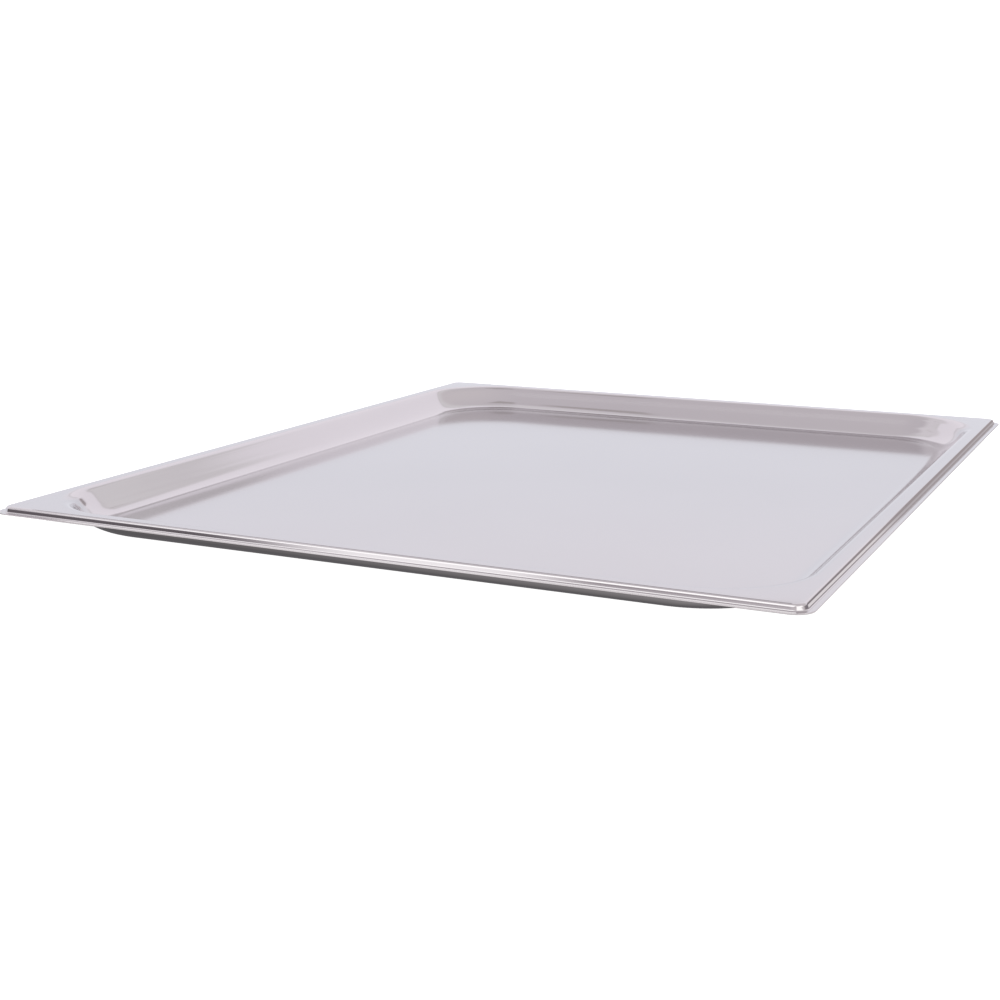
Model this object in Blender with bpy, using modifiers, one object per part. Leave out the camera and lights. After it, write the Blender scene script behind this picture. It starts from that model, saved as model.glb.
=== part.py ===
"""Shallow food pan with a hanging rim, pressed from one sheet of stainless steel.

Metres, +Z up. The origin is the centre of the flat base, X runs across the pan and Y runs along it.
The section is drawn on the upper face of the sheet, from the rim's outer edge to the floor.
"""

import math

import bmesh
import bpy

PAN_NAME = "pan_body"
COLLECTION_NAME = "deli_food_pan"

# Overall sizes
PAN_WIDTH = 0.530
PAN_LENGTH = 0.650
PAN_HEIGHT = 0.0187
SHEET_THICKNESS = 0.0008

# Rim, from its outer edge inwards: a flat lip, a bend up, a leaning riser and a rounded shoulder
LIP_WIDTH = 0.0033
LIP_CORNER_RADIUS = 0.012
LIP_BEND_RADIUS = 0.0008
RISER_HEIGHT = 0.0034
RISER_LEAN = math.radians(18)
SHOULDER_RADIUS = 0.0020

# Flange, the flat band that a lid sits on and that rests on a rail
FLANGE_WIDTH = 0.0059

# Well, from its mouth down to its floor
MOUTH_CORNER_RADIUS = 0.062
MOUTH_BEND_RADIUS = 0.008
WALL_LEAN = math.radians(30)
FLOOR_BEND_RADIUS = 0.020
FLOOR_CORNER_RADIUS = 0.052

# Facets along the section's bends and round the plan's corners
LIP_BEND_STEPS = 3
SHOULDER_STEPS = 5
MOUTH_BEND_STEPS = 7
FLOOR_BEND_STEPS = 9
CORNER_STEPS = 12

# The cut edge of the sheet is deburred
EDGE_BREAK = 0.0002
EDGE_BREAK_ANGLE = math.radians(60)

STEEL_COLOUR = (0.66, 0.65, 0.68, 1.0)
STEEL_ROUGHNESS = 0.28
STEEL_METALLIC = 1.0


class Section:
    """The pan's section, walked from the lip's outer edge inwards as straights and bends."""

    def __init__(self, height):
        self.inset = 0.0
        self.height = height
        self.slope = 0.0
        self.points = [(self.inset, self.height)]

    def move(self, inward, upward):
        self.inset += inward
        self.height += upward
        self.points.append((self.inset, self.height))

    def straight(self, length):
        self.move(length * math.cos(self.slope), length * math.sin(self.slope))

    def bend(self, radius, slope, steps):
        """Turns from the present slope to the given one along an arc, in equal steps."""
        turn = (slope - self.slope) / steps
        chord = 2.0 * radius * math.sin(abs(turn) / 2.0)
        for _ in range(steps):
            self.slope += turn / 2.0
            self.move(chord * math.cos(self.slope), chord * math.sin(self.slope))
            self.slope += turn / 2.0


def leaning_length(rise, bend_radii, lean):
    """Length of the straight between two opposite bends that together climb the rise."""
    climbed_by_bends = sum(bend_radii) * (1.0 - math.sin(lean))
    return (rise - climbed_by_bends) / math.cos(lean)


def pan_rings():
    """Yields half width, half length, corner radius and height for each ring of the upper face."""
    section = Section(PAN_HEIGHT - RISER_HEIGHT)
    riser_slope = math.radians(90) - RISER_LEAN
    wall_slope = WALL_LEAN - math.radians(90)

    section.straight(LIP_WIDTH)
    section.bend(LIP_BEND_RADIUS, riser_slope, LIP_BEND_STEPS)
    section.straight(leaning_length(RISER_HEIGHT, (LIP_BEND_RADIUS, SHOULDER_RADIUS), RISER_LEAN))
    section.bend(SHOULDER_RADIUS, 0.0, SHOULDER_STEPS)
    rim_count = len(section.points)

    section.straight(FLANGE_WIDTH)
    mouth_inset = section.inset
    section.bend(MOUTH_BEND_RADIUS, wall_slope, MOUTH_BEND_STEPS)
    well_depth = PAN_HEIGHT - SHEET_THICKNESS
    section.straight(leaning_length(well_depth, (MOUTH_BEND_RADIUS, FLOOR_BEND_RADIUS), WALL_LEAN))
    section.bend(FLOOR_BEND_RADIUS, 0.0, FLOOR_BEND_STEPS)
    floor_inset = section.inset

    for index, (inset, height) in enumerate(section.points):
        if index < rim_count:
            corner_radius = LIP_CORNER_RADIUS - inset
        else:
            share = (inset - mouth_inset) / (floor_inset - mouth_inset)
            corner_radius = MOUTH_CORNER_RADIUS + share * (FLOOR_CORNER_RADIUS - MOUTH_CORNER_RADIUS)
        yield PAN_WIDTH / 2 - inset, PAN_LENGTH / 2 - inset, corner_radius, height


def ring_points(half_width, half_length, corner_radius, height):
    """Points of a rounded rectangle, anticlockwise from above, with the same count on every ring."""
    points = []
    for quarter in range(4):
        start = quarter * math.radians(90)
        side_x = 1 if quarter in (0, 3) else -1
        side_y = 1 if quarter in (0, 1) else -1
        for step in range(CORNER_STEPS + 1):
            angle = start + math.radians(90) * step / CORNER_STEPS
            x = side_x * (half_width - corner_radius) + corner_radius * math.cos(angle)
            y = side_y * (half_length - corner_radius) + corner_radius * math.sin(angle)
            points.append((x, y, height))
    return points


def loft_rings(rings):
    """Joins each ring to the next one and closes the last with the flat floor."""
    mesh_edit = bmesh.new()
    loops = [[mesh_edit.verts.new(point) for point in ring_points(*ring)] for ring in rings]
    for outer, inner in zip(loops, loops[1:]):
        for index in range(len(outer)):
            following = (index + 1) % len(outer)
            mesh_edit.faces.new((outer[index], outer[following], inner[following], inner[index]))
    mesh_edit.faces.new(loops[-1])
    mesh = bpy.data.meshes.new(PAN_NAME)
    mesh_edit.to_mesh(mesh)
    mesh_edit.free()
    mesh.shade_smooth()
    return mesh


def steel_material():
    material = bpy.data.materials.new("stainless_steel")
    material.use_nodes = True
    shader = material.node_tree.nodes["Principled BSDF"]
    shader.inputs["Base Color"].default_value = STEEL_COLOUR
    shader.inputs["Roughness"].default_value = STEEL_ROUGHNESS
    shader.inputs["Metallic"].default_value = STEEL_METALLIC
    return material


def give_sheet_thickness(pan):
    """The sheet lies below the drawn face, so the base of the pan rests at height zero."""
    sheet = pan.modifiers.new("sheet", "SOLIDIFY")
    sheet.thickness = SHEET_THICKNESS
    sheet.offset = -1.0
    sheet.use_even_offset = True


def break_cut_edges(pan):
    deburr = pan.modifiers.new("deburr", "BEVEL")
    deburr.width = EDGE_BREAK
    deburr.segments = 1
    deburr.limit_method = "ANGLE"
    deburr.angle_limit = EDGE_BREAK_ANGLE


def build_pan():
    pan = bpy.data.objects.new(PAN_NAME, loft_rings(list(pan_rings())))
    pan.data.materials.append(steel_material())
    give_sheet_thickness(pan)
    break_cut_edges(pan)
    return pan


def clear_scene():
    for leftover in list(bpy.data.objects):
        bpy.data.objects.remove(leftover, do_unlink=True)


def main():
    clear_scene()
    parts = bpy.data.collections.new(COLLECTION_NAME)
    bpy.context.scene.collection.children.link(parts)
    parts.objects.link(build_pan())


main()
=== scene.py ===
"""Finished looks of a shallow food pan pressed from one sheet of stainless steel.

The pan is lofted from rounded rectangles with bmesh operators, given its sheet thickness, and dressed in two
finishes of the same steel: satin in the well and on the flange, burnished on the rolled rim.
Metres, +Z up, X across the pan and Y along it, with the origin at the centre of the base.
"""

import logging
import math
from dataclasses import dataclass, field
from enum import Enum
from typing import Iterator

import bmesh
import bpy
from mathutils import Matrix, Vector


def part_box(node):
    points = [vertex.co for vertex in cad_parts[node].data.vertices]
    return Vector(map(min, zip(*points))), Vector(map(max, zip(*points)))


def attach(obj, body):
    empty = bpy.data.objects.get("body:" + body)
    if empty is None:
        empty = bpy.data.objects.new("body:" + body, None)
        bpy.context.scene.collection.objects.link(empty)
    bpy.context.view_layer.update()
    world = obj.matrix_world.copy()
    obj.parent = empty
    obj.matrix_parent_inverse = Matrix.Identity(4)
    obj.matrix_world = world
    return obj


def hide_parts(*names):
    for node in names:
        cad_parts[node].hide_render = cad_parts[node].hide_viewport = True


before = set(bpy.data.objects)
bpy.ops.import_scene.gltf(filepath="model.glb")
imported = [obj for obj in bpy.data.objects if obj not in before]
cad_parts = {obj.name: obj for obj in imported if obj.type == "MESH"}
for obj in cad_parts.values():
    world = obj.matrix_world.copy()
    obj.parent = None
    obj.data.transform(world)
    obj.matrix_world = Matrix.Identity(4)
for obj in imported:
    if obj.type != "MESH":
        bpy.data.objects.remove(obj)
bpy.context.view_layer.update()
log = logging.getLogger("food_pan")

PAN_NODE = "pan_body"
BODY = "root"

NOISE_MEAN = 0.5
STRAIGHT_DOWN = -90.0
INSET_TOLERANCE = 1e-7


# ---------------------------------------------------------------------------------------------- shader maths


class Value:
    """One shader socket that takes part in Python expressions.

    Args:
        graph: The node graph that new Math nodes go into.
        socket: The output socket that carries the value.
    """

    def __init__(self, graph: "Graph", socket: bpy.types.NodeSocket) -> None:
        """Keeps the graph and the socket."""
        self.graph = graph
        self.socket = socket

    def _math(self, operation: str, first: object, second: object) -> "Value":
        """Adds a Math node on two operands and returns its result."""
        return self.graph.add("ShaderNodeMath", {"operation": operation}, {0: first, 1: second})

    def __add__(self, other: object) -> "Value":
        """Sum."""
        return self._math("ADD", self, other)

    def __radd__(self, other: object) -> "Value":
        """Sum, with the number first."""
        return self._math("ADD", other, self)

    def __sub__(self, other: object) -> "Value":
        """Difference."""
        return self._math("SUBTRACT", self, other)

    def __rsub__(self, other: object) -> "Value":
        """Difference, with the number first."""
        return self._math("SUBTRACT", other, self)

    def __mul__(self, other: object) -> "Value":
        """Product."""
        return self._math("MULTIPLY", self, other)

    def __rmul__(self, other: object) -> "Value":
        """Product, with the number first."""
        return self._math("MULTIPLY", other, self)

    def highest(self, other: object) -> "Value":
        """The larger of two values."""
        return self._math("MAXIMUM", self, other)

    def lowest(self, other: object) -> "Value":
        """The smaller of two values."""
        return self._math("MINIMUM", self, other)


class Graph:
    """A node tree that is filled one node at a time.

    Args:
        tree: The node tree of a material or of the world.
    """

    def __init__(self, tree: bpy.types.NodeTree) -> None:
        """Starts with an empty tree."""
        self.tree = tree
        tree.nodes.clear()

    def add(self, kind: str, settings: dict, inputs: dict, output: object = 0) -> Value | None:
        """Adds one node.

        Args:
            kind: The node's type name.
            settings: Properties that are set before the sockets, such as a Math node's operation.
            inputs: Socket names or numbers, with the number, colour or Value that each one takes.
            output: Name or number of the output that is returned.

        Returns:
            The chosen output as a Value, or None for a node without outputs.
        """
        node = self.tree.nodes.new(kind)
        for name, setting in settings.items():
            if name == "stops":
                self._set_stops(node, setting)
            else:
                setattr(node, name, setting)
        for name, source in inputs.items():
            if isinstance(source, Value):
                self.tree.links.new(source.socket, node.inputs[name])
            else:
                node.inputs[name].default_value = source
        return Value(self, node.outputs[output]) if len(node.outputs) else None

    @staticmethod
    def _set_stops(node: bpy.types.ShaderNodeValToRGB, stops: list) -> None:
        """Gives a colour ramp its stops.

        Args:
            node: The colour ramp.
            stops: A position and a colour for each stop.
        """
        elements = node.color_ramp.elements
        while len(elements) < len(stops):
            elements.new(1.0)
        for element, (position, colour) in zip(elements, stops):
            element.position = position
            element.color = colour

    def blend(self, share: object, first: object, second: object) -> Value:
        """Mixes two colours by a share from 0 to 1."""
        return self.add("ShaderNodeMix", {"data_type": "RGBA"}, {0: share, 6: first, 7: second}, 2)

    def smooth_step(self, value: Value, low: float, high: float) -> Value:
        """Rises smoothly from 0 to 1 as the value goes from low to high."""
        settings = {"interpolation_type": "SMOOTHSTEP"}
        return self.add("ShaderNodeMapRange", settings, {0: value, 1: low, 2: high, 3: 0.0, 4: 1.0})

    def band(self, value: Value, low: float, high: float, softness: float) -> Value:
        """Rises to 1 round the low limit and falls back to 0 round the high one.

        Args:
            value: The value to test.
            low: Where the band begins.
            high: Where the band ends.
            softness: How wide the rise and the fall are.

        Returns:
            A value from 0 outside the band to 1 inside.
        """
        rise = self.smooth_step(value, low - softness / 2, low + softness / 2)
        fall = self.smooth_step(value, high - softness / 2, high + softness / 2)
        return rise * (1.0 - fall)

    def noise(self, place: Value, scale: float, detail: float) -> Value:
        """Noise from 0 to 1 at a place in space."""
        return self.add("ShaderNodeTexNoise", {}, {"Vector": place, "Scale": scale, "Detail": detail})

    def stretched(self, place: Value, factors: tuple[float, float, float]) -> Value:
        """Scales a place by a factor on each axis, which draws a pattern out along the small ones."""
        return self.add("ShaderNodeMapping", {"vector_type": "POINT"}, {"Vector": place, "Scale": factors})


def link_mesh(name: str, draft: bmesh.types.BMesh) -> bpy.types.Object:
    """Turns a finished draft into an object of the scene, at the origin.

    Args:
        name: The name of the object and of its mesh.
        draft: The mesh to turn into it, which is freed.

    Returns:
        The new object.
    """
    mesh = bpy.data.meshes.new(name)
    draft.to_mesh(mesh)
    draft.free()
    piece = bpy.data.objects.new(name, mesh)
    bpy.context.scene.collection.objects.link(piece)
    return piece


# --------------------------------------------------------------------------------------------------- finishes


@dataclass(frozen=True)
class SteelFinish:
    """A finish of stainless steel, drawn along the length of the pan."""

    name: str
    colour: tuple[float, float, float]
    deep_colour: tuple[float, float, float]
    roughness: float
    grain_roughness: float
    smudge_roughness: float
    grain_depth: float
    waviness_depth: float
    grain_across: float = 2600.0
    grain_along: float = 26.0
    grain_detail: float = 1.0
    grain_in_shade: float = 0.35
    smudge_scale: float = 7.0
    smudge_detail: float = 4.0
    waviness_scale: float = 22.0
    waviness_detail: float = 1.0
    shade_limits: tuple[float, float] = (0.25, 0.75)

    def material(self) -> bpy.types.Material:
        """Builds the finish as a node material on Object coordinates.

        Returns:
            The new material.
        """
        material = bpy.data.materials.new(self.name)
        material.use_nodes = True
        graph = Graph(material.node_tree)
        place = graph.add("ShaderNodeTexCoord", {}, {}, "Object")
        drawn = graph.stretched(place, (self.grain_across, self.grain_along, self.grain_across))
        grain = graph.noise(drawn, 1.0, self.grain_detail)
        smudge = graph.noise(place, self.smudge_scale, self.smudge_detail)
        waviness = graph.noise(place, self.waviness_scale, self.waviness_detail)

        shade = graph.smooth_step(smudge + (grain - NOISE_MEAN) * self.grain_in_shade, *self.shade_limits)
        colour = graph.blend(shade, (*self.deep_colour, 1.0), (*self.colour, 1.0))
        roughness = self.roughness + (grain - NOISE_MEAN) * self.grain_roughness
        roughness += (smudge - NOISE_MEAN) * self.smudge_roughness
        height = grain * self.grain_depth + waviness * self.waviness_depth
        normal = graph.add("ShaderNodeBump", {}, {"Height": height, "Strength": 1.0, "Distance": 1.0})
        steel = graph.add(
            "ShaderNodeBsdfPrincipled",
            {},
            {"Base Color": colour, "Roughness": roughness, "Metallic": 1.0, "Normal": normal},
        )
        graph.add("ShaderNodeOutputMaterial", {}, {"Surface": steel})
        return material


SATIN = SteelFinish(
    name="satin_steel",
    colour=(0.640, 0.626, 0.640),
    deep_colour=(0.626, 0.612, 0.626),
    roughness=0.10,
    grain_roughness=0.04,
    smudge_roughness=0.03,
    grain_depth=0.0000002,
    waviness_depth=0.000010,
)
BURNISHED = SteelFinish(
    name="burnished_steel",
    colour=(0.650, 0.636, 0.646),
    deep_colour=(0.630, 0.616, 0.626),
    roughness=0.07,
    grain_roughness=0.03,
    smudge_roughness=0.02,
    grain_depth=0.0000001,
    waviness_depth=0.000002,
)


class Zone(Enum):
    """The two zones of the sheet, in the order of the pan's material slots."""

    RIM = 0
    WELL = 1


# -------------------------------------------------------------------------------------------------------- pan


@dataclass(frozen=True)
class Ring:
    """One level of the loft: a rounded rectangle, and the zone of the band that leads in to it."""

    inset: float
    height: float
    zone: Zone


@dataclass
class Section:
    """The pan's section on its upper face, walked from the lip's edge to the floor."""

    height: float
    inset: float = 0.0
    slope: float = 0.0
    rings: list[Ring] = field(default_factory=list)

    def start(self) -> None:
        """Places the first ring, at the lip's outer edge."""
        self.rings.append(Ring(self.inset, self.height, Zone.RIM))

    def straight(self, length: float, zone: Zone, hold: float = 0.0) -> None:
        """Walks on at the present slope.

        Args:
            length: The straight's length.
            zone: The zone of the bands that it adds.
            hold: How far from either end an extra ring keeps the straight's shading flat.
        """
        for part in (hold, length - 2.0 * hold, hold):
            if part > 0.0:
                self._move(part, zone)

    def bend(self, radius: float, slope: float, steps: int, zone: Zone) -> None:
        """Turns to a new slope along an arc.

        Args:
            radius: The arc's radius.
            slope: The slope to end at, in radians, upwards positive.
            steps: How many facets the arc has.
            zone: The zone of the bands that the arc adds.
        """
        turn = (slope - self.slope) / steps
        chord = 2.0 * radius * math.sin(abs(turn) / 2.0)
        for _ in range(steps):
            self.slope += turn / 2.0
            self._move(chord, zone)
            self.slope += turn / 2.0

    def _move(self, length: float, zone: Zone) -> None:
        """Moves along the present slope and places a ring there.

        Args:
            length: How far to move.
            zone: The zone of the band that leads to the ring.
        """
        self.inset += length * math.cos(self.slope)
        self.height += length * math.sin(self.slope)
        self.rings.append(Ring(self.inset, self.height, zone))


@dataclass
class PressedPan:
    """The whole pan: one sheet with a lip, a raised rim, a flat flange and a rounded well."""

    width: float
    length: float
    height: float
    sheet: float = 0.0008
    lip_width: float = 0.0033
    lip_corner_radius: float = 0.012
    lip_bend_radius: float = 0.0008
    riser_height: float = 0.0034
    riser_lean: float = math.radians(18)
    shoulder_radius: float = 0.0020
    flange_width: float = 0.0059
    mouth_corner_radius: float = 0.062
    mouth_bend_radius: float = 0.008
    wall_lean: float = math.radians(30)
    floor_bend_radius: float = 0.020
    floor_corner_radius: float = 0.052
    floor_margin: float = 0.002
    edge_break: float = 0.0002
    edge_angle: float = math.radians(60)

    # Facets round each corner of the plan, and along each bend of the section
    corner_facets: int = 40
    lip_facets: int = 8
    shoulder_facets: int = 12
    mouth_facets: int = 18
    floor_facets: int = 28
    edge_facets: int = 3

    # A straight is held flat from one of this many parts of its length to the last one
    lip_parts: int = 8
    flange_parts: int = 16
    wall_parts: int = 8

    def build(self) -> bpy.types.Object:
        """Draws the sheet's upper face ring by ring and thickens it downwards.

        Returns:
            The pan, at the origin.
        """
        sheet = bmesh.new()
        rings = self._rings()
        outline = self._first_outline(sheet, rings[0])
        for outer, inner in zip(rings, rings[1:]):
            outline = self._next_outline(sheet, outline, outer, inner)
        floor = bmesh.ops.contextual_create(sheet, geom=outline, mat_nr=Zone.WELL.value)
        self._face_upwards(sheet, floor["faces"][0])
        for face in sheet.faces:
            face.smooth = True
        pan = link_mesh("pressed_pan", sheet)
        self._thicken(pan)
        return pan

    def dress(self, pan: bpy.types.Object) -> None:
        """Gives the rim and the well their finishes, and stands the piece in for its CAD node.

        Args:
            pan: The pan, as it was built.
        """
        pan.data.materials.append(BURNISHED.material())
        pan.data.materials.append(SATIN.material())
        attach(pan, BODY)
        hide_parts(PAN_NODE)

    def _rings(self) -> list[Ring]:
        """Walks the section from the lip's edge to the floor.

        Returns:
            The rings of the loft, outermost first.
        """
        riser_slope = math.radians(90) - self.riser_lean
        wall_slope = self.wall_lean - math.radians(90)
        rim_bends = self.lip_bend_radius + self.shoulder_radius
        well_bends = self.mouth_bend_radius + self.floor_bend_radius
        walk = Section(self.height - self.riser_height)
        walk.start()
        walk.straight(self.lip_width, Zone.RIM, self.lip_width / self.lip_parts)
        walk.bend(self.lip_bend_radius, riser_slope, self.lip_facets, Zone.RIM)
        walk.straight(self._leaning(self.riser_height, rim_bends, self.riser_lean), Zone.RIM)
        walk.bend(self.shoulder_radius, 0.0, self.shoulder_facets, Zone.RIM)
        walk.straight(self.flange_width, Zone.WELL, self.flange_width / self.flange_parts)
        walk.bend(self.mouth_bend_radius, wall_slope, self.mouth_facets, Zone.WELL)
        wall = self._leaning(self.height - self.sheet, well_bends, self.wall_lean)
        walk.straight(wall, Zone.WELL, wall / self.wall_parts)
        walk.bend(self.floor_bend_radius, 0.0, self.floor_facets, Zone.WELL)
        walk.straight(self.floor_margin, Zone.WELL)
        return walk.rings

    @staticmethod
    def _leaning(rise: float, bend_radii: float, lean: float) -> float:
        """Length of the straight that is left between two bends which share a rise."""
        return (rise - bend_radii * (1.0 - math.sin(lean))) / math.cos(lean)

    def _corner_radius(self, ring: Ring) -> float:
        """Plan radius of a ring's corners: concentric on the rim, and eased to the floor's in the well.

        Args:
            ring: The level of the loft.

        Returns:
            The radius of the ring's corner arcs.
        """
        rim_inset = self.lip_width + self._rim_run()
        if ring.inset <= rim_inset + INSET_TOLERANCE:
            return self.lip_corner_radius - ring.inset
        mouth = rim_inset + self.flange_width
        floor = mouth + self._well_run()
        share = (ring.inset - mouth) / (floor - mouth)
        return self.mouth_corner_radius + share * (self.floor_corner_radius - self.mouth_corner_radius)

    def _rim_run(self) -> float:
        """How far the rim's bends and riser reach inwards.

        Returns:
            The distance from the lip's inner edge to the flange.
        """
        bends = self.lip_bend_radius + self.shoulder_radius
        riser = self._leaning(self.riser_height, bends, self.riser_lean)
        return bends * math.cos(self.riser_lean) + riser * math.sin(self.riser_lean)

    def _well_run(self) -> float:
        """How far the well's bends and wall reach inwards.

        Returns:
            The distance from the flange to the flat floor.
        """
        bends = self.mouth_bend_radius + self.floor_bend_radius
        wall = self._leaning(self.height - self.sheet, bends, self.wall_lean)
        return bends * math.cos(self.wall_lean) + wall * math.sin(self.wall_lean)

    def _first_outline(self, sheet: bmesh.types.BMesh, ring: Ring) -> list[bmesh.types.BMEdge]:
        """Draws the outermost ring: a rectangle whose four corners are beveled round.

        Args:
            sheet: The mesh that is being drawn.
            ring: The level to draw.

        Returns:
            The ring's edges.
        """
        corners = bmesh.ops.create_grid(sheet, x_segments=1, y_segments=1, size=1.0)["verts"]
        half = self._half_size(ring)
        bmesh.ops.scale(sheet, vec=(half.x, half.y, 1.0), verts=corners)
        bmesh.ops.translate(sheet, vec=(0.0, 0.0, ring.height), verts=corners)
        bmesh.ops.bevel(
            sheet,
            geom=corners,
            offset=self._corner_radius(ring),
            offset_type="OFFSET",
            affect="VERTICES",
            segments=self.corner_facets,
            profile=0.5,
            material=-1,
        )
        outline = list(sheet.edges)
        bmesh.ops.delete(sheet, geom=list(sheet.faces), context="FACES_ONLY")
        return outline

    def _next_outline(
        self, sheet: bmesh.types.BMesh, outline: list[bmesh.types.BMEdge], outer: Ring, inner: Ring
    ) -> list[bmesh.types.BMEdge]:
        """Extrudes an outline in to the next ring, carrying each corner's arc to its new centre and radius.

        Args:
            sheet: The mesh that is being drawn.
            outline: The edges of the outer ring.
            outer: The ring that the outline is on.
            inner: The ring to extrude to.

        Returns:
            The inner ring's edges.
        """
        band = bmesh.ops.extrude_edge_only(sheet, edges=outline)["geom"]
        old_centre, new_centre = self._corner_centre(outer), self._corner_centre(inner)
        growth = self._corner_radius(inner) / self._corner_radius(outer)
        for vertex in (item for item in band if isinstance(item, bmesh.types.BMVert)):
            for axis in range(2):
                reach = new_centre[axis] + (abs(vertex.co[axis]) - old_centre[axis]) * growth
                vertex.co[axis] = math.copysign(reach, vertex.co[axis])
            vertex.co.z = inner.height
        for face in (item for item in band if isinstance(item, bmesh.types.BMFace)):
            face.material_index = inner.zone.value
        return [item for item in band if isinstance(item, bmesh.types.BMEdge)]

    def _half_size(self, ring: Ring) -> Vector:
        """Half the width and half the length of a ring."""
        return Vector((self.width / 2 - ring.inset, self.length / 2 - ring.inset))

    def _corner_centre(self, ring: Ring) -> Vector:
        """Centre of a ring's corner arc, in the quarter where X and Y are positive."""
        radius = self._corner_radius(ring)
        return self._half_size(ring) - Vector((radius, radius))

    @staticmethod
    def _face_upwards(sheet: bmesh.types.BMesh, floor: bmesh.types.BMFace) -> None:
        """Turns every face the same way, with the floor facing up.

        Args:
            sheet: The mesh that is being drawn.
            floor: Its floor.
        """
        bmesh.ops.recalc_face_normals(sheet, faces=list(sheet.faces))
        if floor.normal.z < 0.0:
            bmesh.ops.reverse_faces(sheet, faces=list(sheet.faces))

    def _thicken(self, pan: bpy.types.Object) -> None:
        """Gives the sheet its thickness below the lofted face, and breaks its cut edge.

        Args:
            pan: The lofted face.
        """
        thickness = pan.modifiers.new("sheet", "SOLIDIFY")
        thickness.thickness = self.sheet
        thickness.offset = -1.0
        thickness.use_even_offset = True
        deburr = pan.modifiers.new("deburr", "BEVEL")
        deburr.width = self.edge_break
        deburr.segments = self.edge_facets
        deburr.limit_method = "ANGLE"
        deburr.angle_limit = self.edge_angle


# ----------------------------------------------------------------------------------------------------- studio


@dataclass(frozen=True)
class Viewpoint:
    """The camera: where it stands, and how it is turned."""

    place: tuple[float, float, float] = (0.44263, -1.05897, 0.23513)
    azimuth: float = math.radians(25.370)
    elevation: float = math.radians(12.3185)
    roll: float = math.radians(0.140)
    lens: float = 55.95
    sensor: float = 36.0
    reach: float = 100.0

    def build(self) -> None:
        """Creates the camera and makes it the scene's."""
        camera = bpy.data.cameras.new("viewpoint")
        camera.lens = self.lens
        camera.sensor_width = self.sensor
        camera.clip_end = self.reach
        stand = bpy.data.objects.new("viewpoint", camera)
        turn = Matrix.Rotation(self.azimuth, 4, "Z")
        tilt = Matrix.Rotation(math.radians(90) - self.elevation, 4, "X")
        lean = Matrix.Rotation(self.roll, 4, "Z")
        stand.matrix_world = Matrix.Translation(self.place) @ turn @ tilt @ lean
        bpy.context.scene.collection.objects.link(stand)
        bpy.context.scene.camera = stand


@dataclass(frozen=True)
class Direction:
    """Where a ray of the surround points, as shader values."""

    across: Value
    along: Value
    rise: Value
    azimuth: Value
    elevation: Value

    @classmethod
    def of(cls, graph: Graph) -> "Direction":
        """Reads the ray's direction from the world's texture coordinates.

        Args:
            graph: The world's node graph.

        Returns:
            The direction, with its angles in degrees: azimuth from +Y towards +X, and elevation.
        """
        ray = graph.add("ShaderNodeTexCoord", {}, {}, "Generated")
        across = graph.add("ShaderNodeSeparateXYZ", {}, {0: ray}, "X")
        along = graph.add("ShaderNodeSeparateXYZ", {}, {0: ray}, "Y")
        rise = graph.add("ShaderNodeSeparateXYZ", {}, {0: ray}, "Z")
        azimuth = graph.add("ShaderNodeMath", {"operation": "ARCTAN2"}, {0: across, 1: along})
        elevation = graph.add("ShaderNodeMath", {"operation": "ARCSINE"}, {0: rise})
        degrees = math.degrees(1.0)
        return cls(across, along, rise, azimuth * degrees, elevation * degrees)


@dataclass(frozen=True)
class Patch:
    """An area of the surround between two azimuths and two elevations, in degrees, with soft edges."""

    colour: tuple[float, float, float]
    azimuths: tuple[float, float]
    elevations: tuple[float, float]
    softness: tuple[float, float] = (3.0, 1.5)

    def mask(self, graph: Graph, ray: Direction) -> Value:
        """Share of the patch's colour in a direction.

        Args:
            graph: The world's node graph.
            ray: The direction.

        Returns:
            A value from 0 outside the patch to 1 inside.
        """
        sideways = graph.band(ray.azimuth, *self.azimuths, self.softness[0])
        upwards = graph.band(ray.elevation, *self.elevations, self.softness[1])
        return sideways * upwards


@dataclass(frozen=True)
class Card:
    """A flat reflector or flag that stands near the pan and is seen only in its reflections."""

    name: str
    centre: tuple[float, float, float]
    size: tuple[float, float]
    tilt: float
    turn: float
    colour: tuple[float, float, float]
    strength: float

    def build(self) -> None:
        """Builds the card, with its place in its mesh."""
        board = bmesh.new()
        panel = bmesh.ops.create_grid(board, x_segments=1, y_segments=1, size=0.5)["verts"]
        bmesh.ops.scale(board, vec=(*self.size, 1.0), verts=panel)
        turn = Matrix.Rotation(math.radians(self.turn), 4, "Z")
        tilt = Matrix.Rotation(math.radians(self.tilt), 4, "X")
        bmesh.ops.transform(board, matrix=Matrix.Translation(self.centre) @ turn @ tilt, verts=panel)
        card = link_mesh(self.name, board)
        card.visible_camera = False
        card.visible_shadow = False
        material = bpy.data.materials.new(self.name)
        material.use_nodes = True
        graph = Graph(material.node_tree)
        glow = graph.add("ShaderNodeEmission", {}, {"Color": (*self.colour, 1.0), "Strength": self.strength})
        graph.add("ShaderNodeOutputMaterial", {}, {"Surface": glow})
        card.data.materials.append(material)


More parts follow.
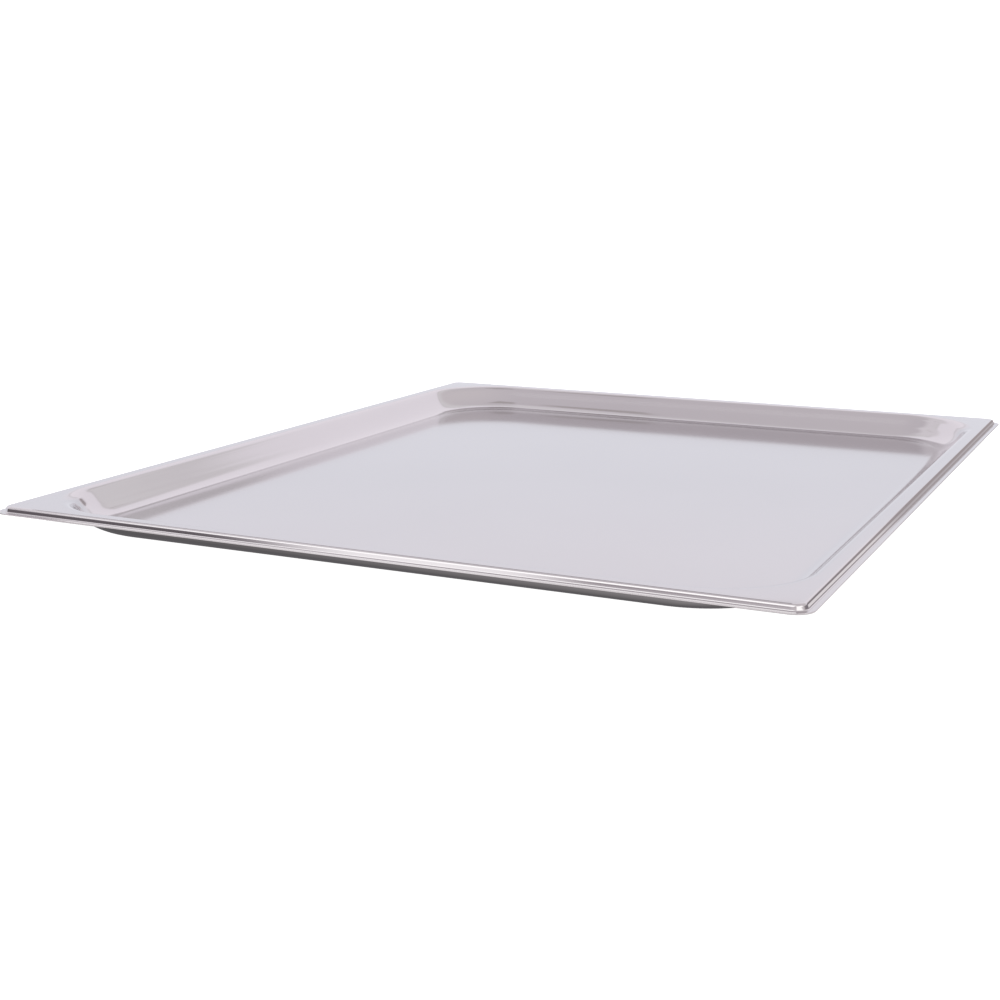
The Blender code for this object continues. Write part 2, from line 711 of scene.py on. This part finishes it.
@dataclass
class Studio:
    """A white table in a pale tent: soft panels behind and in front, and darker gaps between them, with the
    pan's shadow on the table painted into the surround.
    """

    floor_size: float = 40.0
    floor_glow: float = 0.95
    floor_colour: tuple[float, float, float] = (0.6, 0.6, 0.6)
    dome_radius: float = 19.5
    dome_facets: tuple[int, int] = (48, 24)
    dome_glow: float = 1.2

    # The roof, which changes colour from left to right, and the table, below the horizon's elevations
    roof_left: tuple[float, float, float] = (0.72, 0.672, 0.71)
    roof_right: tuple[float, float, float] = (0.82, 0.762, 0.785)
    roof_turn: tuple[float, float] = (-0.8, 0.8)
    table_tint: tuple[float, float, float] = (1.0, 0.95, 0.965)
    horizon: tuple[float, float] = (-2.5, -0.5)

    # The panel behind the pan: its colours, how they follow one another in to its edge, and the edge's slopes
    panel: tuple[float, float, float] = (1.07, 1.015, 1.075)
    panel_frame: tuple[float, float, float] = (0.82, 0.78, 0.805)
    panel_halo: tuple[float, float, float] = (0.90, 0.865, 0.885)
    panel_step: tuple[float, float] = (-0.02, 0.03)
    frame_band: tuple[float, float, float] = (-0.07, -0.005, 0.045)
    halo_step: tuple[float, float] = (-0.38, -0.09)
    panel_slopes: tuple[tuple[float, float], ...] = (
        (0.716, 0.41),
        (0.515, 0.892),
        (0.725, 0.15),
        (0.93, 0.78),
    )

    # Softly edged areas of the tent, each laid over the ones before it; the last one is painted shadow of the
    # pan on the table
    patches: tuple[Patch, ...] = (
        Patch((0.88, 0.88, 0.945), (-120.0, -5.0), (-4.0, 16.0)),
        Patch((0.95, 0.925, 0.985), (-120.0, -5.0), (13.0, 18.0), (3.0, 4.0)),
        Patch((0.80, 0.765, 0.80), (-70.0, -8.0), (18.3, 20.3), (6.0, 1.0)),
        Patch((0.92, 0.87, 0.91), (-112.0, -42.0), (42.0, 60.0), (16.0, 6.0)),
        Patch((1.06, 1.01, 1.07), (-32.0, -16.0), (34.0, 46.5), (6.0, 3.0)),
        Patch((0.45, 0.40, 0.41), (-3.0, 75.0), (-2.0, 16.5), (4.0, 1.5)),
        Patch((0.30, 0.27, 0.29), (18.0, 66.0), (-2.0, 14.0), (4.0, 2.0)),
        Patch((0.58, 0.54, 0.56), (-4.0, 17.0), (-9.0, -1.8), (2.0, 1.0)),
        Patch((1.60, 1.57, 1.55), (84.0, 141.0), (17.0, 42.0), (8.0, 4.0)),
        Patch((0.38, 0.34, 0.36), (141.0, 181.0), (-1.0, 22.0)),
        Patch((0.38, 0.34, 0.36), (-181.0, -157.0), (-1.0, 22.0)),
        Patch((0.17, 0.15, 0.165), (-144.0, -108.0), (-1.0, 22.0), (5.0, 2.0)),
        Patch((1.30, 1.26, 1.28), (-156.0, -146.0), (-1.0, 24.0), (5.0, 2.0)),
        # Painted shadow: the table's shade under the pan, seen in the pan's underside
        Patch((0.14, 0.135, 0.14), (-110.0, 0.0), (-50.0, -9.0), (10.0, 4.0)),
    )

    # How brightly the table glows, by elevation below the horizon; from about -30 degrees down it is darkened
    # as painted shadow of the pan on the table, which the pan's underside reflects
    table_glow_and_shadow: tuple[tuple[float, float], ...] = (
        (-90.0, 0.33),
        (-72.0, 0.33),
        (-60.0, 0.23),
        (-47.0, 0.15),
        (-40.0, 0.18),
        (-30.0, 0.70),
        (-24.0, 1.00),
    )

    # A softbox above and before the pan, and flags over its far-left corner and behind its front rim
    cards: tuple[Card, ...] = (
        Card("front_softbox", (-0.325, -1.775, 1.26), (2.35, 1.95), 0.0, 0.0, (1.0, 0.985, 0.985), 1.65),
        Card("roof_flag", (-0.456, 0.434, 0.893), (0.224, 0.60), 54.0, 90.0, (1.0, 0.92, 0.93), 0.55),
        Card("rim_flag", (0.0, -0.305, 0.0294), (0.50, 0.0106), 90.0, 0.0, (1.0, 0.93, 0.97), 0.30),
    )

    def build(self) -> None:
        """Builds the floor, the backdrop, the surround and the cards."""
        self._floor()
        self._backdrop()
        self._surround()
        for card in self.cards:
            card.build()
        bpy.context.scene.view_settings.view_transform = "Standard"

    def _floor(self) -> None:
        """Lays the floor: a pale, softly glowing table top that only the camera sees."""
        plate = bmesh.new()
        bmesh.ops.create_grid(plate, x_segments=1, y_segments=1, size=self.floor_size / 2)
        floor = link_mesh("studio_floor", plate)
        self._show_only_to_camera(floor)
        material = bpy.data.materials.new("studio_floor")
        material.use_nodes = True
        graph = Graph(material.node_tree)
        matt = graph.add(
            "ShaderNodeBsdfPrincipled",
            {},
            {
                "Base Color": (*self.floor_colour, 1.0),
                "Roughness": 1.0,
                "Specular IOR Level": 0.0,
                "Emission Color": (1.0, 1.0, 1.0, 1.0),
                "Emission Strength": self.floor_glow,
            },
        )
        graph.add("ShaderNodeOutputMaterial", {}, {"Surface": matt})
        floor.data.materials.append(material)

    def _backdrop(self) -> None:
        """Closes the view above the floor with a white dome that only the camera sees."""
        dome = bmesh.new()
        around, upwards = self.dome_facets
        bmesh.ops.create_uvsphere(dome, u_segments=around, v_segments=upwards, radius=self.dome_radius)
        bmesh.ops.reverse_faces(dome, faces=list(dome.faces))
        backdrop = link_mesh("studio_backdrop", dome)
        self._show_only_to_camera(backdrop)
        material = bpy.data.materials.new("studio_backdrop")
        material.use_nodes = True
        graph = Graph(material.node_tree)
        white = {"Color": (1.0, 1.0, 1.0, 1.0), "Strength": self.dome_glow}
        glow = graph.add("ShaderNodeEmission", {}, white)
        graph.add("ShaderNodeOutputMaterial", {}, {"Surface": glow})
        backdrop.data.materials.append(material)

    @staticmethod
    def _show_only_to_camera(piece: bpy.types.Object) -> None:
        """Keeps a piece of the studio out of reflections, bounced light and shadows.

        Args:
            piece: The piece to keep out.
        """
        piece.visible_glossy = False
        piece.visible_diffuse = False
        piece.visible_shadow = False

    def _surround(self) -> None:
        """Paints the tent by direction: its roof, the panel behind the pan, the table and the patches."""
        world = bpy.data.worlds.new("surround")
        bpy.context.scene.world = world
        world.use_nodes = True
        graph = Graph(world.node_tree)
        ray = Direction.of(graph)
        rightwards = graph.smooth_step(ray.across, *self.roof_turn)
        tent = graph.blend(rightwards, (*self.roof_left, 1.0), (*self.roof_right, 1.0))
        edge = self._panel_top(ray) - ray.rise
        tent = graph.blend(graph.smooth_step(edge, *self.halo_step), tent, (*self.panel_halo, 1.0))
        tent = graph.blend(graph.band(edge, *self.frame_band), tent, (*self.panel_frame, 1.0))
        tent = graph.blend(graph.smooth_step(edge, *self.panel_step), tent, (*self.panel, 1.0))
        tent = graph.blend(graph.smooth_step(ray.elevation, *self.horizon), self._table(graph, ray), tent)
        for patch in self.patches:
            tent = graph.blend(patch.mask(graph, ray), tent, (*patch.colour, 1.0))
        glow = graph.add("ShaderNodeBackground", {}, {"Color": tent, "Strength": 1.0})
        graph.add("ShaderNodeOutputWorld", {}, {"Surface": glow})

    def _table(self, graph: Graph, ray: Direction) -> Value:
        """Colours the table top by how steeply a ray goes down to it, darker steeply down where the pan's
        shadow is painted.

        Args:
            graph: The world's node graph.
            ray: The direction.

        Returns:
            The table's colour.
        """
        limits = {1: STRAIGHT_DOWN, 2: 0.0, 3: 0.0, 4: 1.0}
        height = graph.add("ShaderNodeMapRange", {}, {0: ray.elevation, **limits})
        stops = [
            (1.0 - angle / STRAIGHT_DOWN, (*(glow * tint for tint in self.table_tint), 1.0))
            for angle, glow in self.table_glow_and_shadow
        ]
        return graph.add("ShaderNodeValToRGB", {"stops": stops}, {0: height}, "Color")

    def _panel_top(self, ray: Direction) -> Value:
        """How far a ray rises where it meets the top of the panel, which has four straight edges.

        Args:
            ray: The direction.

        Returns:
            The height of the panel's top edge in the ray's direction.
        """
        far_left, near_left, middle, right = (
            ray.along * along - ray.across * across for along, across in self.panel_slopes
        )
        return far_left.highest(near_left).highest(middle).lowest(right)


# ------------------------------------------------------------------------------------------------------- main


def overall_size(box: tuple[Vector, Vector]) -> Iterator[float]:
    """Yields the width, length and height of a box."""
    low, high = box
    yield from (high[axis] - low[axis] for axis in range(3))


def main() -> None:
    """Builds the camera, the studio and the pan."""
    logging.basicConfig(level=logging.INFO, format="%(name)s: %(message)s")
    Viewpoint().build()
    Studio().build()
    pan = PressedPan(*overall_size(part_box(PAN_NODE)))
    piece = pan.build()
    pan.dress(piece)
    log.info("%s: %d faces before thickening", piece.name, len(piece.data.polygons))


if __name__ == "__main__":
    main()
